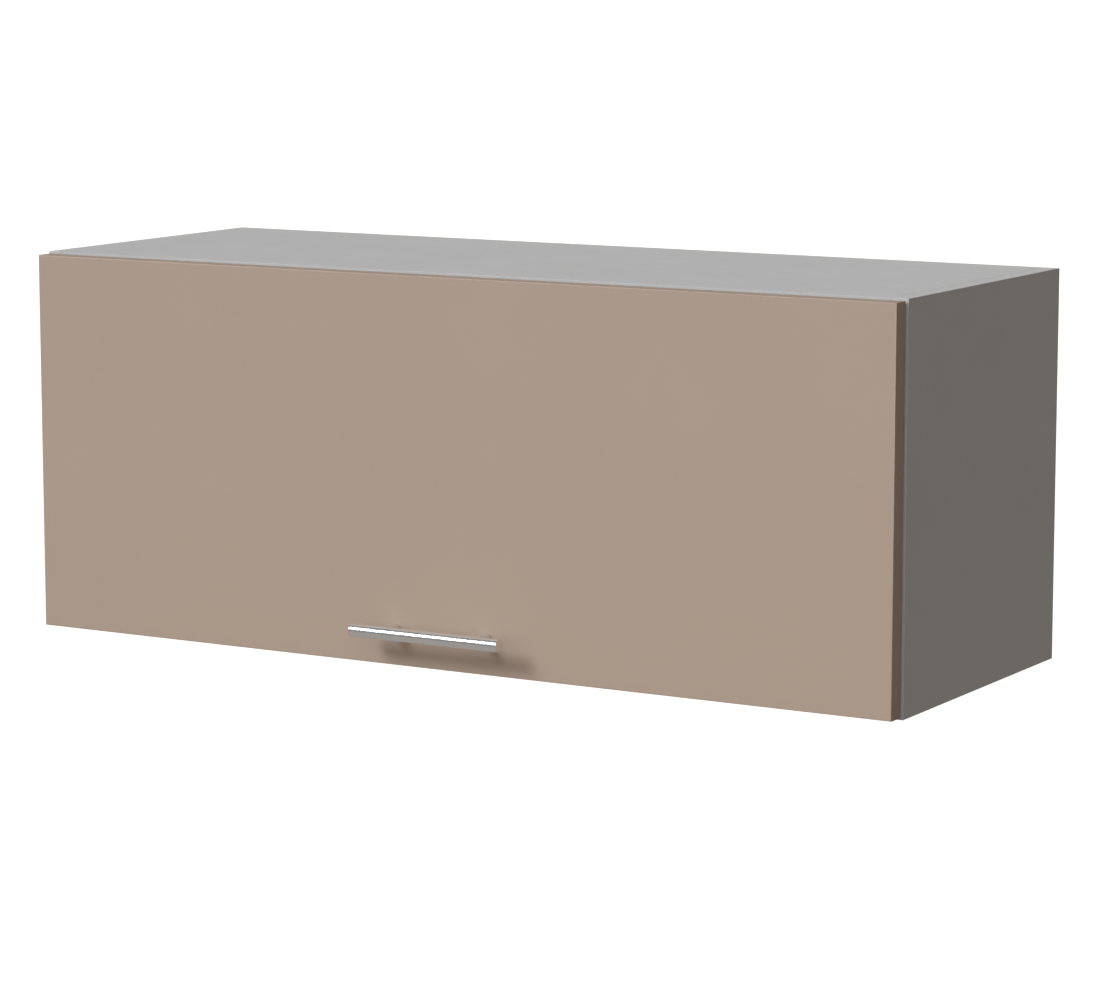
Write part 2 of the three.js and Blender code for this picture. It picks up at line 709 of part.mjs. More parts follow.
// ---------------------------------------------------------------- gas struts
// The strut's own frame has its origin in the lower ball and its Z along the strut. Its X
// points to the side panel.
const strutSpan = spot(strutOnDoor).sub(spot(strutOnSide));
const strutLength = strutSpan.length();
const strutLean = Math.atan2(-strutSpan.x, strutSpan.y);
const ballBore = ballDiameter / 2 + boreGap;

function strutCylinderGeometry() {
  const radius = tubeDiameter / 2;
  const end = tubeStart + tubeLength;
  const floor = tubeStart + tubeFloor;
  const bore = rodDiameter / 2 + boreGap;
  const tube = turned([
    [0, tubeStart], [radius - tubeEdge, tubeStart], [radius, tubeStart + tubeEdge],
    [radius, end - tubeEdge], [radius - tubeEdge, end], [bore, end], [bore, floor], [0, floor],
  ], middleSides);
  const neck = rod(rodDiameter / 2, [0, 0, 0], [0, 0, floor - tubeFloor / 2]);
  const socket = rod(socketDiameter / 2, [-socketLength / 2, 0, 0], [socketLength / 2, 0, 0]);
  const seat = rod(ballBore, [-ballDiameter / 2, 0, 0], [socketLength, 0, 0]);
  return cut(joined(tube, neck, socket), seat);
}

function strutRodGeometry() {
  const start = tubeStart + tubeFloor + rodInTube;
  const half = socketLength / 2;
  const stem = rod(rodDiameter / 2, [0, 0, start], [0, 0, strutLength]);
  const socket = rod(socketDiameter / 2, [-half, 0, strutLength], [half, 0, strutLength]);
  return joined(stem, socket);
}

// Plate on the side panel with the ball stud. Its local origin is the ball.
function sideBracketGeometry() {
  const outer = strutInset - seatGap;
  const inner = outer - bracketSheet;
  const plate = roundedRectangle(-bracketWidth / 2, -bracketHeight / 2, bracketWidth / 2,
    bracketHeight / 2, bracketCorner);
  const ball = new THREE.SphereGeometry(ballDiameter / 2, smallSides, 8).rotateZ(Math.PI / 2);
  const neck = rod(studDiameter / 2, [0, 0, 0], [inner + bracketSheet / 2, 0, 0], smallSides);
  return joined(alongX(plate, inner, outer), neck, ball);
}

// Angle bracket on the door's back. Its local origin is the stud's axis at the strut's middle.
function doorBracketGeometry() {
  const doorY = strutOnDoor.out + seatGap - doorGap;
  const tabOuter = doorTabOffset + bracketSheet;
  const halfHeight = doorBracketHeight / 2;
  const base = roundedRectangle(tabOuter - doorBracketWidth, -halfHeight, tabOuter, halfHeight,
    bracketSheet);
  const tab = new THREE.Shape();
  tab.moveTo(doorY, halfHeight - bracketSheet);
  tab.absarc(0, 0, doorTabRadius, Math.PI / 2, -Math.PI / 2, true);
  tab.lineTo(doorY, bracketSheet - halfHeight);
  tab.closePath();
  const neckStart = socketLength / 2 + boreGap;
  const neck = rod(studDiameter / 2, [neckStart, 0, 0], [doorTabOffset + 1, 0, 0], smallSides);
  return joined(
    alongY(base, doorY, doorY + bracketSheet),
    alongX(tab, doorTabOffset, tabOuter),
    neck,
  );
}

function addStruts(group) {
  const cylinder = strutCylinderGeometry();
  const piston = strutRodGeometry();
  const sideBracket = sideBracketGeometry();
  const doorBracket = doorBracketGeometry();
  const mirrored = (geometry) => geometryOf(solidOf(geometry).mirror([1, 0, 0]));
  for (const { name: side, sign } of bothSides) {
    const facing = sign > 0 ? (geometry) => geometry : mirrored;
    const low = spot(strutOnSide);
    const high = spot(strutOnDoor);
    const strut = new THREE.Group();
    strut.position.set(sign * strutX, frontEdge + low.x, topUnderside + low.y);
    addPiece(strut, `strut_side_bracket_${side}`, facing(sideBracket), materials.platedSteel);
    const leaning = new THREE.Group();
    leaning.rotation.x = strutLean;
    addPiece(leaning, `strut_cylinder_${side}`, facing(cylinder), materials.paintedTube);
    addPiece(leaning, `strut_rod_${side}`, facing(piston), materials.platedSteel);
    strut.add(leaning);
    group.add(strut);
    const place = [sign * strutX, frontEdge + high.x, topUnderside + high.y];
    addPiece(group, `strut_door_bracket_${side}`, facing(doorBracket), materials.platedSteel, place);
  }
}

// ---------------------------------------------------------------- wall hangers
const bearingZ = topUnderside - hookDrop;
const hangerRear = backFront - 2 * seatGap;

// Moulded housing with a rounded front, a slot for the hook and two adjuster bores
function hangerHousingGeometry() {
  const front = hangerRear - hangerDepth;
  const top = topUnderside - hangerDrop;
  const bottom = top - hangerHeight;
  const profile = roundedRectangle(front, bottom, hangerRear + hangerRounding, top, hangerRounding);
  const half = hangerWidth / 2;
  const clear = hookWidth / 2 + boreGap;
  const slotZ = bearingZ + hookStep - boreGap;
  const slotTop = bearingZ + hookHeight + boreGap;
  const tools = [
    block(-half - 1, half + 1, hangerRear, hangerRear + 2 * hangerRounding, bottom - 1, top + 1),
    block(-clear, clear, hangerRear - hookTail - boreGap, hangerRear + 1, slotZ, slotTop),
  ];
  for (const level of [-1, 1]) {
    const z = (top + bottom) / 2 + level * adjusterSpacing / 2;
    const from = [0, front - 1, z];
    tools.push(rod(adjusterDiameter / 2, from, [0, front + adjusterDepth, z], smallSides));
  }
  return cut(alongX(profile, -half, half), ...tools);
}

// Steel hook whose flat underside bears on the wall rail, with a lip behind the rail
function hookGeometry() {
  const rear = -wallClearance;
  const tail = hangerRear - hookTail;
  const shoulder = hangerRear + hookShoulder;
  const tailZ = bearingZ + hookStep;
  const lipFront = rear - hookSheet;
  const top = bearingZ + hookHeight;
  const profile = polygon([
    [tail, tailZ], [shoulder, tailZ], [shoulder, bearingZ], [lipFront, bearingZ],
    [lipFront, bearingZ - hookLip], [rear, bearingZ - hookLip], [rear, top - hookSheet],
    [lipFront, top], [tail, top],
  ]);
  return alongX(profile, -hookWidth / 2, hookWidth / 2);
}

function addHangers(group) {
  const housing = hangerHousingGeometry();
  const hook = hookGeometry();
  for (const { name: side, sign } of bothSides) {
    const x = sign * (innerHalfWidth - seatGap - hangerWidth / 2);
    addPiece(group, `hanger_housing_${side}`, housing, materials.greyPlastic, [x, 0, 0]);
    addPiece(group, `hanger_hook_${side}`, hook, materials.platedSteel, [x, 0, 0]);
  }
}

// ---------------------------------------------------------------- the whole cabinet
const cabinet = new THREE.Group();
addCarcass(cabinet);
addFittings(cabinet);
addHinges(cabinet);
addDoor(cabinet);
addStruts(cabinet);
addHangers(cabinet);

export default cabinet;
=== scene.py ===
"""Lift up wall cabinet: finishes, small fasteners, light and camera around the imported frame."""

import json
import math

import bpy
from bpy.props import FloatProperty, FloatVectorProperty, IntProperty, PointerProperty
from mathutils import Matrix, Vector


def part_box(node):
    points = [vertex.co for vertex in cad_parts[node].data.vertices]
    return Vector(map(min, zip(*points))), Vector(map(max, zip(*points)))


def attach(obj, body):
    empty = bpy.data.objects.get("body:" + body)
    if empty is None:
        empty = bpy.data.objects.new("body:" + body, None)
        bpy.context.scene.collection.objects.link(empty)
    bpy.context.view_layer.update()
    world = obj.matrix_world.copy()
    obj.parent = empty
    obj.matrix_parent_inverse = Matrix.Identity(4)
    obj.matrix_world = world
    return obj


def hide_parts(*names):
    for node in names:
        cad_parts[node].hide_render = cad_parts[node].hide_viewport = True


bl_info = {
    "name": "Lift Up Wall Cabinet",
    "version": (1, 0, 0),
    "blender": (4, 5, 0),
    "location": "View3D > Sidebar > Cabinet",
    "description": "Finishes, fasteners and studio for a lift up wall cabinet",
    "category": "Object",
}

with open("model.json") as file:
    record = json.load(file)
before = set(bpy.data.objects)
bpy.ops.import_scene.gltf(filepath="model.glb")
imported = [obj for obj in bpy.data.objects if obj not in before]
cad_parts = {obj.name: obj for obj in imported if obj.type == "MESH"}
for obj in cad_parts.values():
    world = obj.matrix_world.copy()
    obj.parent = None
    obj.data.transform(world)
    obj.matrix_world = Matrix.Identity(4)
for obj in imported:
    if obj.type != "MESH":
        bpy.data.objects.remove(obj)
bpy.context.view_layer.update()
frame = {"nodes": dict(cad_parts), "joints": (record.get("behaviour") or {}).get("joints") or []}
NODES = frame["nodes"]
JOINTS = {joint["name"]: joint for joint in frame["joints"]}
SIDES = {"left": -1, "right": 1}

MM = 0.001
X_AXIS = Vector((1, 0, 0))
Y_AXIS = Vector((0, 1, 0))
Z_AXIS = Vector((0, 0, 1))

# Places taken from the frame
TOP_LOW, TOP_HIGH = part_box("top_panel")
CARCASS_FRONT = TOP_LOW.y
CARCASS_REAR = TOP_HIGH.y
TOP_UNDERSIDE = TOP_LOW.z

# Roundings of the pieces' edges
FINE_EDGE = 0.12 * MM  # also under half the 0.3 mm step below a hinge cup's flange
PANEL_EDGE = 0.15 * MM
BRACKET_EDGE = 0.2 * MM
HOOK_EDGE = 0.4 * MM
HOUSING_EDGE = 0.5 * MM

# Linear colours without a setting
RAW_FIBRE = (0.34, 0.22, 0.13)
SOOT_BLACK = (0.02, 0.02, 0.021)
BEECH_WOOD = (0.56, 0.36, 0.19)
FLOOR_PAINT = (0.21, 0.18, 0.155)
EDGE_BAND_SHADE = 0.8  # of the melamine's colour

# The photograph's view: 1100 by 1000 pixels, 3905 pixels of focal length
CAMERA_PLACE = Vector((1.8352, -3.2795, 0.6867))
CAMERA_FORWARD = Vector((-0.499544, 0.853031, -0.150976))
CAMERA_RIGHT = Vector((0.862944, 0.505300, -0.000280))
SENSOR_WIDTH = 36.0
TOWARD_KEY_LIGHT = Vector((-0.418, -0.697, 0.583))
TOWARD_FRONT_LIGHT = Vector((0.01, -0.77, 0.63))


# ------------------------------------------------------------------ settings
class CabinetBoardSettings(bpy.types.PropertyGroup):
    melamine: FloatVectorProperty(
        name="Melamine", description="Linear colour of the carcass board's faces",
        subtype="COLOR", size=3, default=(0.578, 0.565, 0.558), min=0, max=1,
    )
    chipboard: FloatVectorProperty(
        name="Chipboard", description="Linear colour of the bare core at the rear edges",
        subtype="COLOR", size=3, default=(0.42, 0.30, 0.18), min=0, max=1,
    )
    fibreboard: FloatVectorProperty(
        name="Fibreboard", description="Linear colour of the back panel's inner face",
        subtype="COLOR", size=3, default=(0.60, 0.585, 0.57), min=0, max=1,
    )
    edge_radius: FloatProperty(
        name="Edge radius", description="Rounding of the edge bands",
        subtype="DISTANCE", unit="LENGTH", default=0.35 * MM, min=0.05 * MM, max=1 * MM,
    )


class CabinetDoorSettings(bpy.types.PropertyGroup):
    lacquer: FloatVectorProperty(
        name="Lacquer", description="Linear colour of the flap door",
        subtype="COLOR", size=3, default=(0.395, 0.293, 0.225), min=0, max=1,
    )
    sheen: FloatProperty(
        name="Roughness", description="Roughness of the satin lacquer",
        subtype="FACTOR", default=0.58, min=0, max=1,
    )
    rubber: FloatVectorProperty(
        name="Bumper", description="Linear colour of the soft bumpers",
        subtype="COLOR", size=3, default=(0.72, 0.73, 0.73), min=0, max=1,
    )


class CabinetHandleSettings(bpy.types.PropertyGroup):
    steel: FloatVectorProperty(
        name="Steel", description="Linear colour of the brushed bar",
        subtype="COLOR", size=3, default=(0.86, 0.855, 0.85), min=0, max=1,
    )
    roughness: FloatProperty(
        name="Roughness", description="Roughness of the brushed bar",
        subtype="FACTOR", default=0.17, min=0, max=1,
    )
    sides: IntProperty(
        name="Sides", description="Facets round the bar and its posts",
        default=96, min=24, max=256,
    )
    end_break: FloatProperty(
        name="End break", description="Chamfer at the bar's ends",
        subtype="DISTANCE", unit="LENGTH", default=0.5 * MM, min=0, max=2 * MM,
    )


class CabinetFittingSettings(bpy.types.PropertyGroup):
    nickel: FloatVectorProperty(
        name="Nickel", description="Linear colour of plated steel",
        subtype="COLOR", size=3, default=(0.60, 0.60, 0.585), min=0, max=1,
    )
    zinc: FloatVectorProperty(
        name="Zinc", description="Linear colour of zinc castings",
        subtype="COLOR", size=3, default=(0.40, 0.41, 0.42), min=0, max=1,
    )
    tube_paint: FloatVectorProperty(
        name="Strut paint", description="Linear colour of the struts' cylinders",
        subtype="COLOR", size=3, default=(0.36, 0.37, 0.38), min=0, max=1,
    )
    plastic: FloatVectorProperty(
        name="Plastic", description="Linear colour of the hanger housings",
        subtype="COLOR", size=3, default=(0.46, 0.47, 0.47), min=0, max=1,
    )
    screw_head: FloatProperty(
        name="Screw head", description="Diameter of the small wood screws' heads",
        subtype="DISTANCE", unit="LENGTH", default=6.4 * MM, min=4 * MM, max=9 * MM,
    )


class CabinetStageSettings(bpy.types.PropertyGroup):
    key_strength: FloatProperty(
        name="Key light", description="Strength of the soft key light", default=1.9, min=0, max=20,
    )
    key_width: FloatProperty(
        name="Key width", description="Angle that the key light fills",
        subtype="ANGLE", unit="ROTATION", default=math.radians(22), min=0, max=math.pi,
    )
    key_colour: FloatVectorProperty(
        name="Key colour", description="Linear colour of the key light",
        subtype="COLOR", size=3, default=(0.905, 1.0, 1.08), min=0, max=2,
    )
    front_strength: FloatProperty(
        name="Front light", description="Strength of the broad light from the front",
        default=2.1, min=0, max=20,
    )
    front_width: FloatProperty(
        name="Front width", description="Angle that the front light fills",
        subtype="ANGLE", unit="ROTATION", default=math.radians(90), min=0, max=math.pi,
    )
    front_colour: FloatVectorProperty(
        name="Front colour", description="Linear colour of the front light",
        subtype="COLOR", size=3, default=(0.972, 0.965, 0.952), min=0, max=2,
    )
    fill_colour: FloatVectorProperty(
        name="Fill", description="Linear light from all round",
        subtype="COLOR", size=3, default=(0.053, 0.045, 0.038), min=0, max=1,
    )
    reflected: FloatProperty(
        name="Reflected room", description="Brightness of the room that glosses and metals mirror",
        default=0.22, min=0, max=1,
    )
    floor_drop: FloatProperty(
        name="Floor", description="Depth of the floor below the cabinet",
        subtype="DISTANCE", unit="LENGTH", default=2.0, min=1, max=3,
    )
    focal_pixels: FloatProperty(
        name="Focal length", description="Focal length in pixels of a 1100 pixel wide picture",
        default=3905.3, min=500, max=9000,
    )
    picture_width: FloatProperty(
        name="Picture width", description="Width in pixels that the focal length belongs to",
        default=1100, min=100, max=9000,
    )


# ------------------------------------------------------------------ modelling helpers
def deselect_all():
    if bpy.context.mode != "OBJECT":
        bpy.ops.object.mode_set(mode="OBJECT")
    bpy.ops.object.select_all(action="DESELECT")


def choose(piece):
    """Makes piece the only selected and active object."""
    deselect_all()
    piece.select_set(True)
    bpy.context.view_layer.objects.active = piece


def apply_place(piece):
    choose(piece)
    bpy.ops.object.transform_apply(location=True, rotation=True, scale=True)


def apply_modifier(piece, kind, **settings):
    choose(piece)
    modifier = piece.modifiers.new(kind.title(), kind)
    for key, value in settings.items():
        setattr(modifier, key, value)
    bpy.ops.object.modifier_apply(modifier=modifier.name)


def point_along(piece, origin, axis):
    """Turns a piece modelled along +Z to an axis, moves it to origin and applies both."""
    piece.rotation_mode = "QUATERNION"
    piece.rotation_quaternion = Z_AXIS.rotation_difference(Vector(axis).normalized())
    piece.location = origin
    apply_place(piece)


def turned_piece(name, rings, sides=48):
    """A closed turned body along +Z: (radius, height) rings, the first one a filled circle."""
    deselect_all()
    radius, height = rings[0]
    bpy.ops.mesh.primitive_circle_add(
        vertices=sides, radius=radius, fill_type="NGON", location=(0, 0, height)
    )
    piece = bpy.context.active_object
    piece.name = name
    apply_place(piece)
    bpy.ops.object.mode_set(mode="EDIT")
    bpy.ops.mesh.select_mode(type="FACE")
    bpy.ops.mesh.select_all(action="SELECT")
    for next_radius, next_height in rings[1:]:
        rise = (0, 0, next_height - height)
        bpy.ops.mesh.extrude_region_move(TRANSFORM_OT_translate={"value": rise})
        growth = next_radius / radius
        bpy.ops.transform.resize(value=(growth, growth, 1), center_override=(0, 0, next_height))
        radius, height = next_radius, next_height
    bpy.ops.mesh.select_all(action="SELECT")
    bpy.ops.mesh.normals_make_consistent(inside=False)
    bpy.ops.object.mode_set(mode="OBJECT")
    return piece


def block_piece(name, low, high):
    deselect_all()
    low, high = Vector(low), Vector(high)
    bpy.ops.mesh.primitive_cube_add(size=1, location=(low + high) / 2, scale=high - low)
    piece = bpy.context.active_object
    piece.name = name
    apply_place(piece)
    return piece


def cut_away(piece, tool):
    """Takes tool's volume out of piece and deletes the tool."""
    apply_modifier(piece, "BOOLEAN", operation="DIFFERENCE", solver="EXACT", object=tool)
    bpy.data.objects.remove(tool)


def add_on(piece, other):
    """Joins other's volume to piece and deletes the other."""
    apply_modifier(piece, "BOOLEAN", operation="UNION", solver="EXACT", object=other)
    bpy.data.objects.remove(other)


def round_edges(piece, width, segments, angle):
    apply_modifier(
        piece, "BEVEL", width=width, segments=segments, limit_method="ANGLE",
        angle_limit=angle, use_clamp_overlap=True, miter_outer="MITER_ARC",
    )


def smooth(piece, angle=math.radians(35)):
    choose(piece)
    bpy.ops.object.shade_smooth_by_angle(angle=angle)


def even_normals(piece):
    apply_modifier(piece, "WEIGHTED_NORMAL", keep_sharp=True)


def dressed_copy(node, name, width, segments=2, angle=math.radians(32), split_rings=False):
    """A merged copy of a frame node with its edges rounded, which stands for that node.

    With split_rings, faces that run round a hole are first split into convex ones.
    """
    same_place = 2e-6
    nearly_flat = math.radians(0.5)
    piece = bpy.data.objects.new(name, NODES[node].data.copy())
    bpy.context.scene.collection.objects.link(piece)
    piece.data.materials.clear()
    choose(piece)
    bpy.ops.object.mode_set(mode="EDIT")
    bpy.ops.mesh.select_mode(type="VERT")
    bpy.ops.mesh.select_all(action="SELECT")
    bpy.ops.mesh.remove_doubles(threshold=same_place)
    bpy.ops.mesh.customdata_custom_splitnormals_clear()
    bpy.ops.mesh.dissolve_limited(angle_limit=nearly_flat)
    if split_rings:
        bpy.ops.mesh.vert_connect_concave()
    bpy.ops.object.mode_set(mode="OBJECT")
    round_edges(piece, width, segments, angle)
    smooth(piece)
    even_normals(piece)
    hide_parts(node)
    return piece


def finish_piece(piece, body, slot, *materials):
    """Gives a piece its body and its materials; the slot argument is not used."""
    piece.data.materials.clear()
    for material in materials:
        piece.data.materials.append(material)
    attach(piece, body)


def coat_node(node, material):
    """A frame node that keeps its own mesh gets a finish."""
    NODES[node].data.materials.clear()
    NODES[node].data.materials.append(material)


# ------------------------------------------------------------------ effect groups
def new_group(name, coloured, values):
    """A shader node group, its input node and its output node.

    It takes a place, a colour where it is coloured and the named values, and gives the
    colour, a roughness and a height.
    """
    group = bpy.data.node_groups.new(name, "ShaderNodeTree")
    new_socket = group.interface.new_socket
    new_socket("Vector", in_out="INPUT", socket_type="NodeSocketVector")
    if coloured:
        new_socket("Colour", in_out="INPUT", socket_type="NodeSocketColor")
        new_socket("Colour", in_out="OUTPUT", socket_type="NodeSocketColor")
    for socket, value in values.items():
        new_socket(socket, in_out="INPUT", socket_type="NodeSocketFloat").default_value = value
    for socket in ("Roughness", "Height"):
        new_socket(socket, in_out="OUTPUT", socket_type="NodeSocketFloat")
    return group, group.nodes.new("NodeGroupInput"), group.nodes.new("NodeGroupOutput")


def add_node(tree, kind, **settings):
    node = tree.nodes.new(kind)
    for key, value in settings.items():
        setattr(node, key, value)
    return node


def noise(tree, vector, scale, detail=3.0, roughness=0.5):
    node = add_node(tree, "ShaderNodeTexNoise")
    node.inputs["Detail"].default_value = detail
    node.inputs["Roughness"].default_value = roughness
    tree.links.new(vector, node.inputs["Vector"])
    if isinstance(scale, (int, float)):
        node.inputs["Scale"].default_value = scale
    else:
        tree.links.new(scale, node.inputs["Scale"])
    return node.outputs["Fac"]


MOST_NOISE = (0.3, 0.7)  # holds most of a noise pattern's values


def spread(tree, value, low, high, span=MOST_NOISE):
    """Maps a value's span to a range whose ends are numbers or sockets."""
    node = add_node(tree, "ShaderNodeMapRange")
    tree.links.new(value, node.inputs["Value"])
    node.inputs["From Min"].default_value, node.inputs["From Max"].default_value = span
    for socket, end in (("To Min", low), ("To Max", high)):
        if isinstance(end, (int, float)):
            node.inputs[socket].default_value = end
        else:
            tree.links.new(end, node.inputs[socket])
    return node.outputs["Result"]


def math_node(tree, operation, first, second):
    node = add_node(tree, "ShaderNodeMath", operation=operation)
    for socket, value in zip(node.inputs, (first, second)):
        if isinstance(value, (int, float)):
            socket.default_value = value
        else:
            tree.links.new(value, socket)
    return node.outputs[0]


def scaled_colour(tree, colour, factor):
    node = add_node(tree, "ShaderNodeVectorMath", operation="SCALE")
    tree.links.new(colour, node.inputs[0])
    tree.links.new(factor, node.inputs["Scale"])
    return node.outputs[0]


def clouded_colour(tree, colour, pattern, amount):
    """The colour, darker and lighter by an amount as the pattern goes."""
    low = math_node(tree, "SUBTRACT", 1.0, amount)
    high = math_node(tree, "ADD", 1.0, amount)
    return scaled_colour(tree, colour, spread(tree, pattern, low, high))


def pressed_film_group():
    """Melamine or lacquer: a faint cloudiness, pinhead texture and a change of gloss."""
    group, source, result = new_group("Pressed film", True, {
        "Cloud": 0.02, "Gloss": 0.5, "Gloss change": 0.05, "Texture scale": 2200.0,
    })
    given, links = source.outputs, group.links
    cloud = noise(group, given["Vector"], scale=9.0, detail=4.0)
    fine = noise(group, given["Vector"], scale=given["Texture scale"], detail=2.0)
    rub = noise(group, given["Vector"], scale=34.0, detail=5.0, roughness=0.6)
    matt = math_node(group, "ADD", given["Gloss"], given["Gloss change"])
    gloss = spread(group, rub, given["Gloss"], matt, span=(0.35, 0.7))
    colour = clouded_colour(group, given["Colour"], cloud, given["Cloud"])
    links.new(colour, result.inputs["Colour"])
    links.new(gloss, result.inputs["Roughness"])
    links.new(fine, result.inputs["Height"])
    return group


def chip_core_group():
    """Bare chipboard: pressed flakes of light and dark wood with small voids."""
    group, source, result = new_group("Chip core", True, {})
    given, links = source.outputs, group.links
    flakes = add_node(group, "ShaderNodeTexVoronoi", feature="F1")
    flakes.inputs["Scale"].default_value = 620.0
    links.new(given["Vector"], flakes.inputs["Vector"])
    grey = add_node(group, "ShaderNodeRGBToBW")
    links.new(flakes.outputs["Color"], grey.inputs["Color"])
    dust = noise(group, given["Vector"], scale=1500.0)
    flake_share = math_node(group, "MULTIPLY", grey.outputs[0], 0.7)
    dust_share = math_node(group, "MULTIPLY", dust, 0.5)
    mixed = math_node(group, "ADD", flake_share, dust_share)
    tone = spread(group, mixed, low=0.55, high=1.35, span=(0.2, 1.0))
    gloss = spread(group, dust, low=0.75, high=0.95, span=(0.0, 1.0))
    links.new(scaled_colour(group, given["Colour"], tone), result.inputs["Colour"])
    links.new(gloss, result.inputs["Roughness"])
    links.new(mixed, result.inputs["Height"])
    return group


def brushed_group():
    """Brushed metal: fine lines across a stretched direction, in height and in gloss."""
    group, source, result = new_group("Brushed", False, {"Gloss": 0.3, "Gloss change": 0.08})
    given, links = source.outputs, group.links
    lines = noise(group, given["Vector"], scale=1.0, roughness=0.6)
    matt = math_node(group, "ADD", given["Gloss"], given["Gloss change"])
    links.new(spread(group, lines, given["Gloss"], matt), result.inputs["Roughness"])
    links.new(lines, result.inputs["Height"])
    return group


def cast_skin_group():
    """Castings, mouldings and paint: a soft grain with worn, brighter patches."""
    group, source, result = new_group("Cast skin", True, {
        "Wear": 0.08, "Gloss": 0.4, "Grain scale": 1400.0,
    })
    given, links = source.outputs, group.links
    patches = noise(group, given["Vector"], scale=120.0, detail=4.0, roughness=0.6)
    grain = noise(group, given["Vector"], scale=given["Grain scale"])
    matt = math_node(group, "ADD", given["Gloss"], given["Wear"])
    colour = clouded_colour(group, given["Colour"], patches, given["Wear"])
    links.new(colour, result.inputs["Colour"])
    links.new(spread(group, patches, matt, given["Gloss"]), result.inputs["Roughness"])
    links.new(grain, result.inputs["Height"])
    return group


# ------------------------------------------------------------------ materials
MADE = {}


def effect_group(build):
    """The effect group of that builder, built when it is first asked for."""
    if build not in MADE:
        MADE[build] = build()
    return MADE[build]


def finished_material(name, build, values, bump, colour, stretch=None, **shader_values):
    """A Principled material, made once, that one effect group feeds on Object coordinates."""
    if name in MADE:
        return MADE[name]
    material = MADE[name] = bpy.data.materials.new(name)
    material.use_nodes = True
    tree = material.node_tree
    shader = tree.nodes["Principled BSDF"]
    place = add_node(tree, "ShaderNodeTexCoord").outputs["Object"]
    if stretch:
        mapping = add_node(tree, "ShaderNodeMapping")
        mapping.inputs["Scale"].default_value = stretch
        tree.links.new(place, mapping.inputs["Vector"])
        place = mapping.outputs[0]
    effect = add_node(tree, "ShaderNodeGroup", node_tree=effect_group(build))
    tree.links.new(place, effect.inputs["Vector"])
    for socket, value in values.items():
        effect.inputs[socket].default_value = value
    if "Colour" in effect.outputs:
        effect.inputs["Colour"].default_value = (*colour, 1.0)
        tree.links.new(effect.outputs["Colour"], shader.inputs["Base Color"])
    else:
        shader.inputs["Base Color"].default_value = (*colour, 1.0)
    tree.links.new(effect.outputs["Roughness"], shader.inputs["Roughness"])
    strength, distance = bump
    relief = add_node(tree, "ShaderNodeBump")
    relief.inputs["Strength"].default_value = strength
    relief.inputs["Distance"].default_value = distance
    tree.links.new(effect.outputs["Height"], relief.inputs["Height"])
    tree.links.new(relief.outputs["Normal"], shader.inputs["Normal"])
    for socket, value in shader_values.items():
        shader.inputs[socket.replace("_", " ")].default_value = value
    return material


def melamine():
    settings = bpy.context.scene.cabinet_board
    return finished_material(
        "Grey melamine", pressed_film_group,
        {"Cloud": 0.012, "Gloss": 0.5, "Gloss change": 0.08, "Texture scale": 1700.0},
        (0.12, 0.05 * MM), settings.melamine, Specular_IOR_Level=0.35,
    )


def edge_band():
    settings = bpy.context.scene.cabinet_board
    return finished_material(
        "Edge band", pressed_film_group,
        {"Cloud": 0.01, "Gloss": 0.42, "Gloss change": 0.05, "Texture scale": 2600.0},
        (0.08, 0.03 * MM), [EDGE_BAND_SHADE * part for part in settings.melamine],
        Specular_IOR_Level=0.25,
    )


def chip_core():
    settings = bpy.context.scene.cabinet_board
    return finished_material(
        "Bare chipboard", chip_core_group, {}, (0.6, 0.2 * MM),
        settings.chipboard, Specular_IOR_Level=0.15,
    )


def back_board():
    settings = bpy.context.scene.cabinet_board
    return finished_material(
        "Lacquered fibreboard", pressed_film_group,
        {"Cloud": 0.02, "Gloss": 0.55, "Gloss change": 0.1, "Texture scale": 900.0},
        (0.1, 0.05 * MM), settings.fibreboard, Specular_IOR_Level=0.3,
    )


def raw_fibre():
    return finished_material(
        "Raw fibreboard", cast_skin_group, {"Wear": 0.12, "Gloss": 0.8, "Grain scale": 2400.0},
        (0.4, 0.08 * MM), RAW_FIBRE, Specular_IOR_Level=0.15,
    )


def door_lacquer():
    settings = bpy.context.scene.cabinet_door
    return finished_material(
        "Taupe lacquer", pressed_film_group,
        {"Cloud": 0.012, "Gloss": settings.sheen, "Gloss change": 0.06, "Texture scale": 520.0},
        (0.05, 0.06 * MM), settings.lacquer, Specular_IOR_Level=0.6,
        Coat_Weight=0.25, Coat_Roughness=0.6,
    )


def brushed_steel(name, stretch):
    settings = bpy.context.scene.cabinet_handle
    return finished_material(
        name, brushed_group, {"Gloss": settings.roughness, "Gloss change": 0.05},
        (0.12, 0.02 * MM), settings.steel, stretch, Metallic=1.0,
    )


def bar_steel():
    return brushed_steel("Brushed bar", (9000.0, 260.0, 260.0))


def post_steel():
    return brushed_steel("Brushed post", (260.0, 9000.0, 260.0))


def plated_steel():
    settings = bpy.context.scene.cabinet_fittings
    return finished_material(
        "Nickel plate", cast_skin_group, {"Wear": 0.05, "Gloss": 0.22, "Grain scale": 900.0},
        (0.06, 0.02 * MM), settings.nickel, Metallic=1.0,
    )


def zinc_cast():
    settings = bpy.context.scene.cabinet_fittings
    return finished_material(
        "Zinc casting", cast_skin_group, {"Wear": 0.14, "Gloss": 0.42, "Grain scale": 1300.0},
        (0.3, 0.05 * MM), settings.zinc, Metallic=1.0,
    )


def strut_paint():
    settings = bpy.context.scene.cabinet_fittings
    return finished_material(
        "Strut paint", cast_skin_group, {"Wear": 0.04, "Gloss": 0.3, "Grain scale": 500.0},
        (0.08, 0.04 * MM), settings.tube_paint, Coat_Weight=0.3,
    )


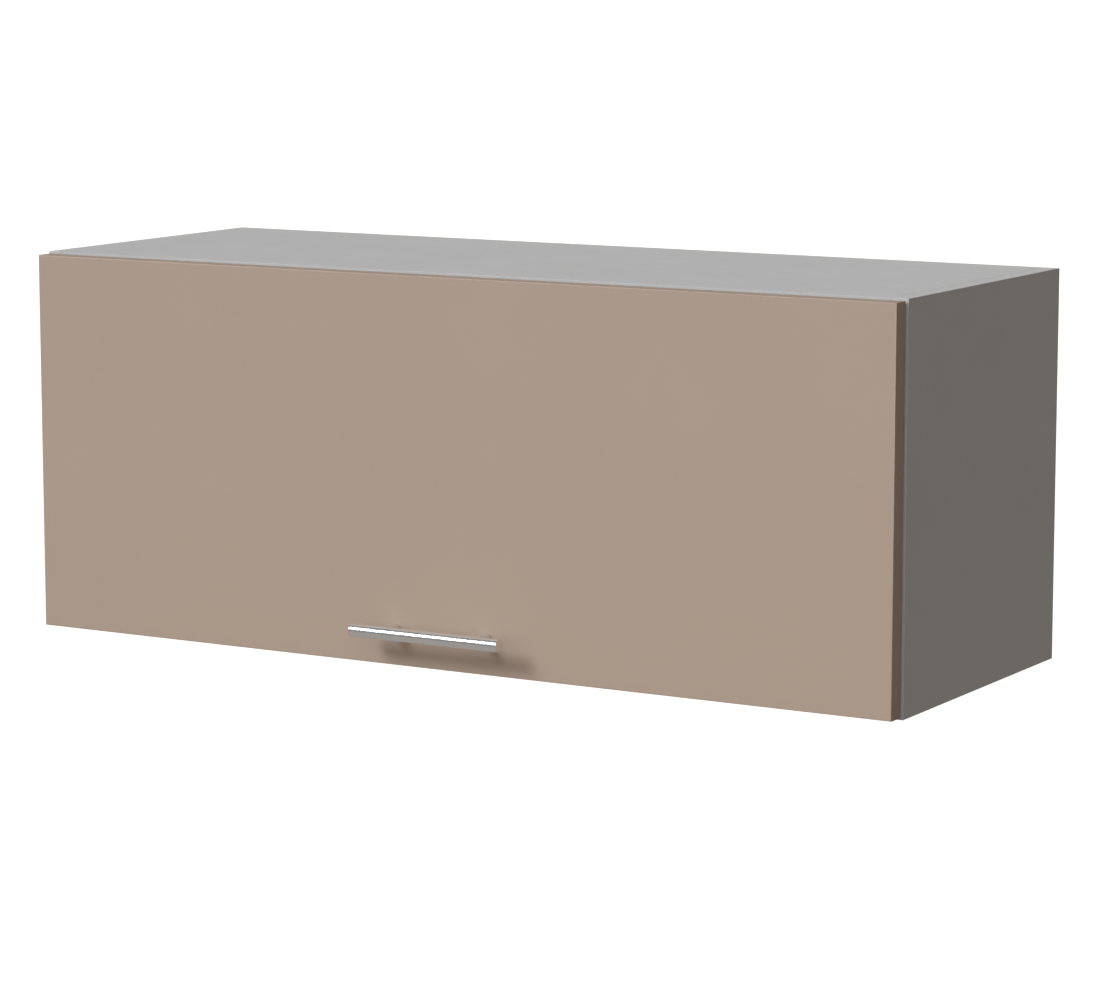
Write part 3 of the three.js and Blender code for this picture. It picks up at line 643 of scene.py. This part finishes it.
def moulded_plastic():
    settings = bpy.context.scene.cabinet_fittings
    return finished_material(
        "Moulded plastic", cast_skin_group, {"Wear": 0.03, "Gloss": 0.5, "Grain scale": 2600.0},
        (0.3, 0.04 * MM), settings.plastic,
    )


def black_plastic():
    return finished_material(
        "Black plastic", cast_skin_group, {"Wear": 0.1, "Gloss": 0.4, "Grain scale": 2200.0},
        (0.25, 0.03 * MM), SOOT_BLACK,
    )


def beech():
    return finished_material(
        "Beech", cast_skin_group, {"Wear": 0.16, "Gloss": 0.65, "Grain scale": 700.0},
        (0.3, 0.06 * MM), BEECH_WOOD, stretch=(0.15, 1, 1),
    )


def soft_rubber():
    settings = bpy.context.scene.cabinet_door
    return finished_material(
        "Soft bumper", cast_skin_group, {"Wear": 0.02, "Gloss": 0.35, "Grain scale": 600.0},
        (0.05, 0.03 * MM), settings.rubber, Subsurface_Weight=0.2, Subsurface_Scale=0.002,
    )


# ------------------------------------------------------------------ carcass
BAND, CORE = 1, 2  # a board's second and third material; its film is the first
BARE = 1  # the second material of the door and of the back panel


def within(place, low, high, skin):
    """Whether a place lies deeper than skin inside a box."""
    return all(low[i] + skin < place[i] < high[i] - skin for i in range(3))


def paint_board_faces(piece, low, high):
    """Bares a board's rear edge, its groove and its bores, and bands its front edge."""
    for polygon in piece.data.polygons:
        centre, normal = polygon.center, polygon.normal
        rear = centre.y > CARCASS_REAR - 0.2 * MM and normal.y > 0.7
        front = centre.y < CARCASS_FRONT + 1 * MM and normal.y < -0.5
        if rear or within(centre, low, high, skin=0.6 * MM):
            polygon.material_index = CORE
        elif front:
            polygon.material_index = BAND


class CABINET_OT_carcass(bpy.types.Operator):
    """Dress the carcass boards with banded front edges and bare rear edges"""

    bl_idname = "cabinet.carcass"
    bl_label = "Carcass"

    def execute(self, context):
        radius = context.scene.cabinet_board.edge_radius
        for node in ("side_panel_left", "side_panel_right", "top_panel", "bottom_panel"):
            low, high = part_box(node)
            piece = dressed_copy(node, node + "_board", radius)
            finish_piece(piece, "carcass", "carcass_board", melamine(), edge_band(), chip_core())
            paint_board_faces(piece, low, high)
        back = dressed_copy("back_panel", "back_panel_board", PANEL_EDGE)
        finish_piece(back, "carcass", "back_board", back_board(), raw_fibre())
        for polygon in back.data.polygons:
            if polygon.normal.y > -0.9:
                polygon.material_index = BARE
        return {"FINISHED"}


class CABINET_OT_fastenings(bpy.types.Operator):
    """Finish the cam locks, bolts, dowels and machine screws"""

    bl_idname = "cabinet.fastenings"
    bl_label = "Cams and dowels"

    def execute(self, context):
        for node in NODES:
            if node.startswith("cam_bolt_"):
                coat_node(node, plated_steel())
            elif node.startswith("cam_"):
                piece = dressed_copy(node, node + "_casting", FINE_EDGE)
                finish_piece(piece, "carcass", "zinc_alloy", zinc_cast())
            elif node.startswith("dowel_"):
                coat_node(node, beech())
            elif node.startswith("hinge_screw_"):
                piece = screw_with_recess(node, node + "_head")
                finish_piece(piece, "carcass", "plated_steel", plated_steel())
            elif node.startswith("handle_screw_"):
                piece = dressed_copy(node, node + "_steel", FINE_EDGE)
                finish_piece(piece, "door", "plated_steel", plated_steel())
        return {"FINISHED"}


# ------------------------------------------------------------------ small screws
def cross_cutter(reach, half_width, floor, top):
    """A cross-shaped tool along +Z for a screw's drive recess."""
    arm = block_piece("cutter", (-reach, -half_width, floor), (reach, half_width, top))
    bar = block_piece("cutter_bar", (-half_width, -reach, floor), (half_width, reach, top))
    add_on(arm, bar)
    return arm


def screw_with_recess(node, name):
    """A hinge plate's screw, smooth and with a cross recess in the head that faces down."""
    low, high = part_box(node)
    middle = (low + high) / 2
    length = high.z - low.z
    head, head_height = (high.x - low.x) / 2, 1.6 * MM
    shank, point = 2.0 * MM, 2 * MM
    half_slot, slot_depth = 0.45 * MM, 1 * MM
    piece = turned_piece(name, [
        (shank * 0.3, -length), (shank, -length + point), (shank, -head_height),
        (head, -head_height), (head, -0.5 * head_height), (0.75 * head, 0.0),
    ])
    cut_away(piece, cross_cutter(0.5 * head, half_slot, -slot_depth, slot_depth))
    point_along(piece, (middle.x, middle.y, low.z), -Z_AXIS)
    smooth(piece)
    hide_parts(node)
    return piece


def small_screw_master(diameter):
    """A domed screw head along +Z with a cross recess, seated on Z 0."""
    radius = diameter / 2
    half_slot, slot_floor, above_head = 0.4 * MM, 0.4 * MM, 3 * MM
    head = turned_piece("screw_master", [
        (radius, 0), (radius, 0.25 * MM), (0.92 * radius, 0.7 * MM),
        (0.72 * radius, 1.1 * MM), (0.4 * radius, 1.3 * MM),
    ])
    cut_away(head, cross_cutter(0.5 * radius, half_slot, slot_floor, above_head))
    smooth(head, math.radians(40))
    return head


def add_screw(master, name, place, axis, body, coat=plated_steel):
    """A copy of the master head, with a mesh of its own, at its place along an axis."""
    mesh = master.data.copy()
    turn = Z_AXIS.rotation_difference(Vector(axis).normalized()).to_matrix().to_4x4()
    mesh.transform(Matrix.Translation(place) @ turn)
    screw = bpy.data.objects.new(name, mesh)
    bpy.context.scene.collection.objects.link(screw)
    finish_piece(screw, body, "plated_steel", coat())


# ------------------------------------------------------------------ door and handle
class CABINET_OT_door(bpy.types.Operator):
    """Dress the flap door and its two bumpers"""

    bl_idname = "cabinet.door"
    bl_label = "Flap door"

    def execute(self, context):
        door = dressed_copy("door_panel", "door_lacquered", PANEL_EDGE, angle=math.radians(50))
        finish_piece(door, "door", "door_board", door_lacquer(), raw_fibre())
        low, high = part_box("door_panel")
        for polygon in door.data.polygons:
            if within(polygon.center, low, high, skin=1.2 * MM):
                polygon.material_index = BARE
        for side in SIDES:
            add_bumper(side)
        return {"FINISHED"}


def add_bumper(side):
    """A soft domed pad on the door's inner face."""
    node = f"door_bumper_{side}"
    low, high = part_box(node)
    centre = (low + high) / 2
    radius = (high.x - low.x) / 2
    height = high.y - low.y
    pad = turned_piece(f"bumper_dome_{side}", [
        (radius, 0), (radius, 0.25 * height), (0.94 * radius, 0.6 * height),
        (0.78 * radius, 0.85 * height), (0.5 * radius, 0.97 * height), (0.2 * radius, height),
    ])
    point_along(pad, (centre.x, low.y, centre.z), Y_AXIS)
    smooth(pad, math.radians(60))
    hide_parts(node)
    finish_piece(pad, "door", "clear_rubber", soft_rubber())


class CABINET_OT_handle(bpy.types.Operator):
    """Model the brushed bar handle with its two posts"""

    bl_idname = "cabinet.handle"
    bl_label = "Bar handle"

    def execute(self, context):
        settings = context.scene.cabinet_handle
        low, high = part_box("handle_bar")
        radius = (high.z - low.z) / 2
        axis = (low + high) / 2
        edge = settings.end_break
        length = high.x - low.x
        bar = turned_piece("handle_bar_brushed", [
            (radius - edge, 0), (radius - 0.3 * edge, 0.25 * edge), (radius, edge),
            (radius, length - edge), (radius - 0.3 * edge, length - 0.25 * edge),
            (radius - edge, length),
        ], settings.sides)
        point_along(bar, (low.x, axis.y, axis.z), X_AXIS)
        smooth(bar, math.radians(28))
        even_normals(bar)
        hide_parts("handle_bar")
        finish_piece(bar, "door", "bar_steel", bar_steel())
        for side in SIDES:
            add_post(side, axis, radius, settings.sides)
        return {"FINISHED"}


def add_post(side, axis, bar_radius, sides):
    """A post from the door to the bar, hollowed round the bar and bored for its screw."""
    node = f"handle_post_{side}"
    low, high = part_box(node)
    radius = (high.x - low.x) / 2
    foot = Vector(((low.x + high.x) / 2, high.y, axis.z))
    reach = high.y - axis.y
    chamfer = 0.4 * MM
    hollow = bar_radius + 0.05 * MM
    bore, bore_depth, below_foot = 2.3 * MM, 11 * MM, 1 * MM
    post = turned_piece(f"post_brushed_{side}", [
        (radius - chamfer, 0), (radius, chamfer), (radius, reach),
    ], sides)
    point_along(post, foot, -Y_AXIS)
    saddle = turned_piece("saddle", [(hollow, -radius * 2), (hollow, radius * 2)], sides)
    point_along(saddle, (foot.x, axis.y, axis.z), X_AXIS)
    cut_away(post, saddle)
    drill = turned_piece("bore", [(bore, -below_foot), (bore, bore_depth)], 32)
    point_along(drill, foot, -Y_AXIS)
    cut_away(post, drill)
    smooth(post, math.radians(30))
    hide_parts(node)
    finish_piece(post, "door", "bar_steel", post_steel())


# ------------------------------------------------------------------ hinges
class CABINET_OT_hinges(bpy.types.Operator):
    """Dress the concealed hinges and add their cup and adjusting screws"""

    bl_idname = "cabinet.hinges"
    bl_label = "Concealed hinges"

    def execute(self, context):
        head = small_screw_master(context.scene.cabinet_fittings.screw_head)
        for side in SIDES:
            for part, body, slot, coat in (
                ("hinge_arm", "carcass", "plated_steel", plated_steel),
                ("hinge_plate", "carcass", "zinc_alloy", zinc_cast),
                ("hinge_outer_link", None, "plated_steel", plated_steel),
                ("hinge_inner_link", None, "plated_steel", plated_steel),
                ("hinge_cup", "door", "plated_steel", plated_steel),
            ):
                node = f"{part}_{side}"
                rings = part in ("hinge_cup", "hinge_inner_link")
                piece = dressed_copy(node, node + "_finished", FINE_EDGE, split_rings=rings)
                finish_piece(piece, body or node, slot, coat())
            add_cup_screws(head, side)
            add_adjusters(head, side)
        bpy.data.objects.remove(head)
        return {"FINISHED"}


def add_cup_screws(head, side):
    """Two screws through the cup's flange, in a row below its centre."""
    low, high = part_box(f"hinge_cup_{side}")
    middle = (low.x + high.x) / 2
    cup_radius, row_drop, half_spacing = 17.8 * MM, 9.5 * MM, 22.5 * MM
    row = high.z - cup_radius - row_drop
    for index, offset in enumerate((-half_spacing, half_spacing)):
        place = (middle + offset, high.y, row)
        add_screw(head, f"cup_screw_{side}_{index}", place, Y_AXIS, "door")


def add_adjusters(head, side):
    """Two adjusting screws in the arm's web, set back from its rear end."""
    low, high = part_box(f"hinge_arm_{side}")
    middle = (low.x + high.x) / 2
    web = TOP_UNDERSIDE - 12.2 * MM
    for index, setback in enumerate((8 * MM, 34 * MM)):
        place = (middle, high.y - setback, web)
        add_screw(head, f"hinge_adjuster_{side}_{index}", place, -Z_AXIS, "carcass")


# ------------------------------------------------------------------ gas struts
class CABINET_OT_struts(bpy.types.Operator):
    """Model the gas struts' cylinders, rods, seals and bracket screws"""

    bl_idname = "cabinet.struts"
    bl_label = "Gas struts"

    def execute(self, context):
        head = small_screw_master(context.scene.cabinet_fittings.screw_head)
        for side in SIDES:
            add_strut_cylinder(side)
            add_strut_rod(side)
            for part, body in (("strut_side_bracket", "carcass"), ("strut_door_bracket", "door")):
                node = f"{part}_{side}"
                piece = dressed_copy(node, node + "_plated", BRACKET_EDGE)
                finish_piece(piece, body, "plated_steel", plated_steel())
            add_bracket_screws(head, side)
        bpy.data.objects.remove(head)
        return {"FINISHED"}


def strut_line(side):
    """The strut's lower ball and its direction towards the door."""
    ball = Vector(JOINTS[f"strut_swing_{side}"]["pos_m"])
    direction = Vector(JOINTS[f"strut_slide_{side}"]["axis"])
    return ball, direction


def add_strut_cylinder(side):
    """The painted tube with its neck, rolled end and ball socket, and the rod's seal."""
    ball, direction = strut_line(side)
    body = f"strut_cylinder_{side}"
    neck, outer, groove, bore = 3.6 * MM, 9 * MM, 8.5 * MM, 4.35 * MM
    end, bore_depth = 118 * MM, 98 * MM
    tube = turned_piece(f"strut_tube_{side}", [
        (neck, 4 * MM), (neck, 10 * MM), (5.2 * MM, 11.5 * MM), (7.6 * MM, 12 * MM),
        (8.7 * MM, 12.9 * MM), (outer, 14.5 * MM), (outer, end - 8 * MM), (groove, end - 7 * MM),
        (groove, end - 6 * MM), (outer, end - 5 * MM), (outer, end - 1.6 * MM),
        (8.4 * MM, end - 0.5 * MM), (7.4 * MM, end), (bore, end), (bore, end - bore_depth),
    ], 64)
    point_along(tube, ball, direction)
    face, drum, mouth, half_width = 5.5 * MM, 6 * MM, 4.35 * MM, 5 * MM
    socket = turned_piece("socket", [
        (face, -half_width), (drum, -4.5 * MM), (drum, 4.5 * MM), (face, half_width),
        (mouth, half_width), (mouth, -4 * MM),
    ])
    point_along(socket, ball, SIDES[side] * X_AXIS)
    add_on(tube, socket)
    smooth(tube)
    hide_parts(body)
    finish_piece(tube, body, "strut_tube", strut_paint())
    deselect_all()
    bpy.ops.mesh.primitive_torus_add(
        major_radius=5.6 * MM, minor_radius=1.1 * MM, major_segments=48, minor_segments=12
    )
    seal = bpy.context.active_object
    seal.name = f"strut_seal_{side}"
    seal.scale = (1, 1, 0.7)
    apply_place(seal)
    point_along(seal, ball + direction * (end + 0.2 * MM), direction)
    smooth(seal, math.radians(60))
    finish_piece(seal, body, "strut_tube", black_plastic())


def add_strut_rod(side):
    """The plated rod and the black socket at its end, with its collar."""
    ball, direction = strut_line(side)
    body = f"strut_rod_{side}"
    radius, inner_end, length = 4 * MM, 22 * MM, 155.9 * MM
    rod = turned_piece(f"strut_rod_polished_{side}", [
        (3.4 * MM, inner_end), (radius, 22.6 * MM), (radius, length - 5 * MM),
    ])
    point_along(rod, ball, direction)
    smooth(rod)
    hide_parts(body)
    finish_piece(rod, body, "plated_steel", plated_steel())
    end = ball + direction * length
    face, drum, half_width = 5.4 * MM, 6 * MM, 5 * MM
    socket = turned_piece(f"strut_end_{side}", [
        (face, -half_width), (drum, -4.4 * MM), (drum, 4.4 * MM), (face, half_width),
        (4.2 * MM, half_width), (4.0 * MM, -3.6 * MM),
    ])
    point_along(socket, end, SIDES[side] * X_AXIS)
    collar = turned_piece("collar", [
        (4.6 * MM, -15 * MM), (5 * MM, -14.4 * MM), (5 * MM, -6.5 * MM), (4.2 * MM, -4.5 * MM),
    ])
    point_along(collar, end, direction)
    add_on(socket, collar)
    smooth(socket)
    finish_piece(socket, body, "plated_steel", black_plastic())


def add_bracket_screws(head, side):
    """Two screws on the sheet of each bracket, at the side panel and at the door."""
    sign = SIDES[side]
    sheet = 2 * MM
    side_half_spacing, door_half_spacing = 16 * MM, 15 * MM
    low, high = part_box(f"strut_side_bracket_{side}")
    middle = (low + high) / 2
    plate_x = high.x - sheet if sign > 0 else low.x + sheet
    for index, offset in enumerate((-side_half_spacing, side_half_spacing)):
        place = (plate_x, middle.y, middle.z + offset)
        add_screw(head, f"side_bracket_screw_{side}_{index}", place, -sign * X_AXIS, "carcass")
    low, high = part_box(f"strut_door_bracket_{side}")
    middle = (low + high) / 2
    for index, offset in enumerate((-door_half_spacing, door_half_spacing)):
        place = (middle.x, low.y + sheet, middle.z + offset)
        add_screw(head, f"door_bracket_screw_{side}_{index}", place, Y_AXIS, "door")


# ------------------------------------------------------------------ wall hangers
class CABINET_OT_hangers(bpy.types.Operator):
    """Dress the wall hangers and add their adjusting screws"""

    bl_idname = "cabinet.hangers"
    bl_label = "Wall hangers"

    def execute(self, context):
        head_diameter, inset, half_spacing = 5.2 * MM, 5 * MM, 13 * MM
        head = small_screw_master(head_diameter)
        for side in SIDES:
            node = f"hanger_housing_{side}"
            housing = dressed_copy(node, f"hanger_moulding_{side}", HOUSING_EDGE, 3)
            finish_piece(housing, "carcass", "hanger_plastic", moulded_plastic())
            hook = dressed_copy(f"hanger_hook_{side}", f"hook_plated_{side}", HOOK_EDGE, 3)
            finish_piece(hook, "carcass", "plated_steel", plated_steel())
            low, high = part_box(node)
            middle = (low + high) / 2
            for index, offset in enumerate((-half_spacing, half_spacing)):
                place = (middle.x, low.y + inset, middle.z + offset)
                name = f"hanger_adjuster_{side}_{index}"
                add_screw(head, name, place, -Y_AXIS, "carcass", zinc_cast)
        bpy.data.objects.remove(head)
        return {"FINISHED"}


# ------------------------------------------------------------------ stage
def seen_white(tree, reflected):
    """1 for rays that the camera or clear glass sends, the reflected level for glosses, else 0."""
    path = add_node(tree, "ShaderNodeLightPath")
    rays = path.outputs
    direct = math_node(tree, "MAXIMUM", rays["Is Camera Ray"], rays["Is Transmission Ray"])
    gloss = math_node(tree, "MULTIPLY", rays["Is Glossy Ray"], reflected)
    return math_node(tree, "MAXIMUM", direct, gloss)


def stage_material(white_share, reflected):
    """Pale floor and backdrop: plain paint that also glows where the camera or a gloss sees it."""
    material = bpy.data.materials.new("Pale stage")
    material.use_nodes = True
    tree = material.node_tree
    tree.nodes.clear()
    output = add_node(tree, "ShaderNodeOutputMaterial")
    paint = add_node(tree, "ShaderNodeBsdfDiffuse")
    paint.inputs["Color"].default_value = (*FLOOR_PAINT, 1)
    glow = add_node(tree, "ShaderNodeEmission")
    seen = seen_white(tree, reflected)
    tree.links.new(math_node(tree, "MULTIPLY", seen, white_share), glow.inputs["Strength"])
    both = add_node(tree, "ShaderNodeAddShader")
    tree.links.new(paint.outputs[0], both.inputs[0])
    tree.links.new(glow.outputs[0], both.inputs[1])
    tree.links.new(both.outputs[0], output.inputs["Surface"])
    return material


def build_world(fill, reflected):
    """A world that lights with the fill colour, is white to the camera and grey to glosses."""
    world = bpy.data.worlds.new("Studio")
    bpy.context.scene.world = world
    world.use_nodes = True
    tree = world.node_tree
    tree.nodes.clear()
    output = add_node(tree, "ShaderNodeOutputWorld")
    light = add_node(tree, "ShaderNodeBackground")
    light.inputs["Color"].default_value = (*fill, 1)
    white = add_node(tree, "ShaderNodeBackground")
    white.inputs["Color"].default_value = (1, 1, 1, 1)
    mix = add_node(tree, "ShaderNodeMixShader")
    tree.links.new(seen_white(tree, reflected), mix.inputs["Fac"])
    tree.links.new(light.outputs[0], mix.inputs[1])
    tree.links.new(white.outputs[0], mix.inputs[2])
    tree.links.new(mix.outputs[0], output.inputs["Surface"])


class CABINET_OT_stage(bpy.types.Operator):
    """Set up the floor, backdrop, light, world and camera"""

    bl_idname = "cabinet.stage"
    bl_label = "Stage"

    def execute(self, context):
        settings = context.scene.cabinet_stage
        context.scene.view_settings.view_transform = "Standard"
        reach, cove_radius, white_share = 24.0, 2.0, 0.92
        deselect_all()
        bpy.ops.mesh.primitive_plane_add(size=reach, location=(0, 0, -settings.floor_drop))
        cove = context.active_object
        cove.name = "floor_and_backdrop"
        apply_place(cove)
        bpy.ops.object.mode_set(mode="EDIT")
        bpy.ops.mesh.select_mode(type="EDGE")
        bpy.ops.mesh.select_all(action="DESELECT")
        bpy.ops.object.mode_set(mode="OBJECT")
        for edge in cove.data.edges:
            ends = [cove.data.vertices[i].co for i in edge.vertices]
            edge.select = all(end.y > 0 for end in ends)
        bpy.ops.object.mode_set(mode="EDIT")
        bpy.ops.mesh.extrude_region_move(TRANSFORM_OT_translate={"value": (0, 0, reach / 2)})
        bpy.ops.object.mode_set(mode="OBJECT")
        apply_modifier(cove, "BEVEL", width=cove_radius, segments=12, limit_method="ANGLE")
        smooth(cove, math.radians(60))
        cove.data.materials.append(stage_material(white_share, settings.reflected))
        build_world(tuple(settings.fill_colour), settings.reflected)
        self.add_sun(context, settings, "key", TOWARD_KEY_LIGHT)
        self.add_sun(context, settings, "front", TOWARD_FRONT_LIGHT)
        self.add_camera(context, settings)
        return {"FINISHED"}

    def add_sun(self, context, settings, name, toward):
        sun = bpy.data.lights.new(f"{name}_light", "SUN")
        sun.energy = getattr(settings, f"{name}_strength")
        sun.color = tuple(getattr(settings, f"{name}_colour"))
        sun.angle = getattr(settings, f"{name}_width")
        light = bpy.data.objects.new(f"{name}_light", sun)
        light.rotation_mode = "QUATERNION"
        light.rotation_quaternion = Z_AXIS.rotation_difference(toward.normalized())
        light.visible_glossy = name == "key"
        context.scene.collection.objects.link(light)

    def add_camera(self, context, settings):
        lens = bpy.data.cameras.new("Photograph view")
        lens.sensor_width = SENSOR_WIDTH
        lens.lens = settings.focal_pixels / settings.picture_width * SENSOR_WIDTH
        lens.clip_end = 100
        camera = bpy.data.objects.new("Photograph view", lens)
        forward = CAMERA_FORWARD.normalized()
        right = (CAMERA_RIGHT - forward * CAMERA_RIGHT.dot(forward)).normalized()
        up = right.cross(forward)
        turn = Matrix((right, up, -forward)).transposed().to_4x4()
        camera.matrix_world = Matrix.Translation(CAMERA_PLACE) @ turn
        context.scene.collection.objects.link(camera)
        context.scene.camera = camera


# ------------------------------------------------------------------ panel and registration
STEPS = (
    CABINET_OT_carcass, CABINET_OT_fastenings, CABINET_OT_door, CABINET_OT_handle,
    CABINET_OT_hinges, CABINET_OT_struts, CABINET_OT_hangers, CABINET_OT_stage,
)
SETTINGS = {
    "cabinet_board": CabinetBoardSettings,
    "cabinet_door": CabinetDoorSettings,
    "cabinet_handle": CabinetHandleSettings,
    "cabinet_fittings": CabinetFittingSettings,
    "cabinet_stage": CabinetStageSettings,
}


class CABINET_PT_panel(bpy.types.Panel):
    """Settings and building steps of the cabinet"""

    bl_idname = "CABINET_PT_panel"
    bl_label = "Wall cabinet"
    bl_space_type = "VIEW_3D"
    bl_region_type = "UI"
    bl_category = "Cabinet"

    def draw(self, context):
        for name, group in SETTINGS.items():
            settings = getattr(context.scene, name)
            box = self.layout.box()
            for key in group.__annotations__:
                box.prop(settings, key)
        for step in STEPS:
            self.layout.operator(step.bl_idname)


def register():
    for name, group in SETTINGS.items():
        bpy.utils.register_class(group)
        setattr(bpy.types.Scene, name, PointerProperty(type=group))
    for step in STEPS:
        bpy.utils.register_class(step)
    bpy.utils.register_class(CABINET_PT_panel)


def unregister():
    bpy.utils.unregister_class(CABINET_PT_panel)
    for step in reversed(STEPS):
        bpy.utils.unregister_class(step)
    for name, group in reversed(SETTINGS.items()):
        delattr(bpy.types.Scene, name)
        bpy.utils.unregister_class(group)


def main():
    register()
    bpy.ops.cabinet.carcass()
    bpy.ops.cabinet.fastenings()
    bpy.ops.cabinet.door()
    bpy.ops.cabinet.handle()
    bpy.ops.cabinet.hinges()
    bpy.ops.cabinet.struts()
    bpy.ops.cabinet.hangers()
    bpy.ops.cabinet.stage()


if __name__ == "__main__":
    main()
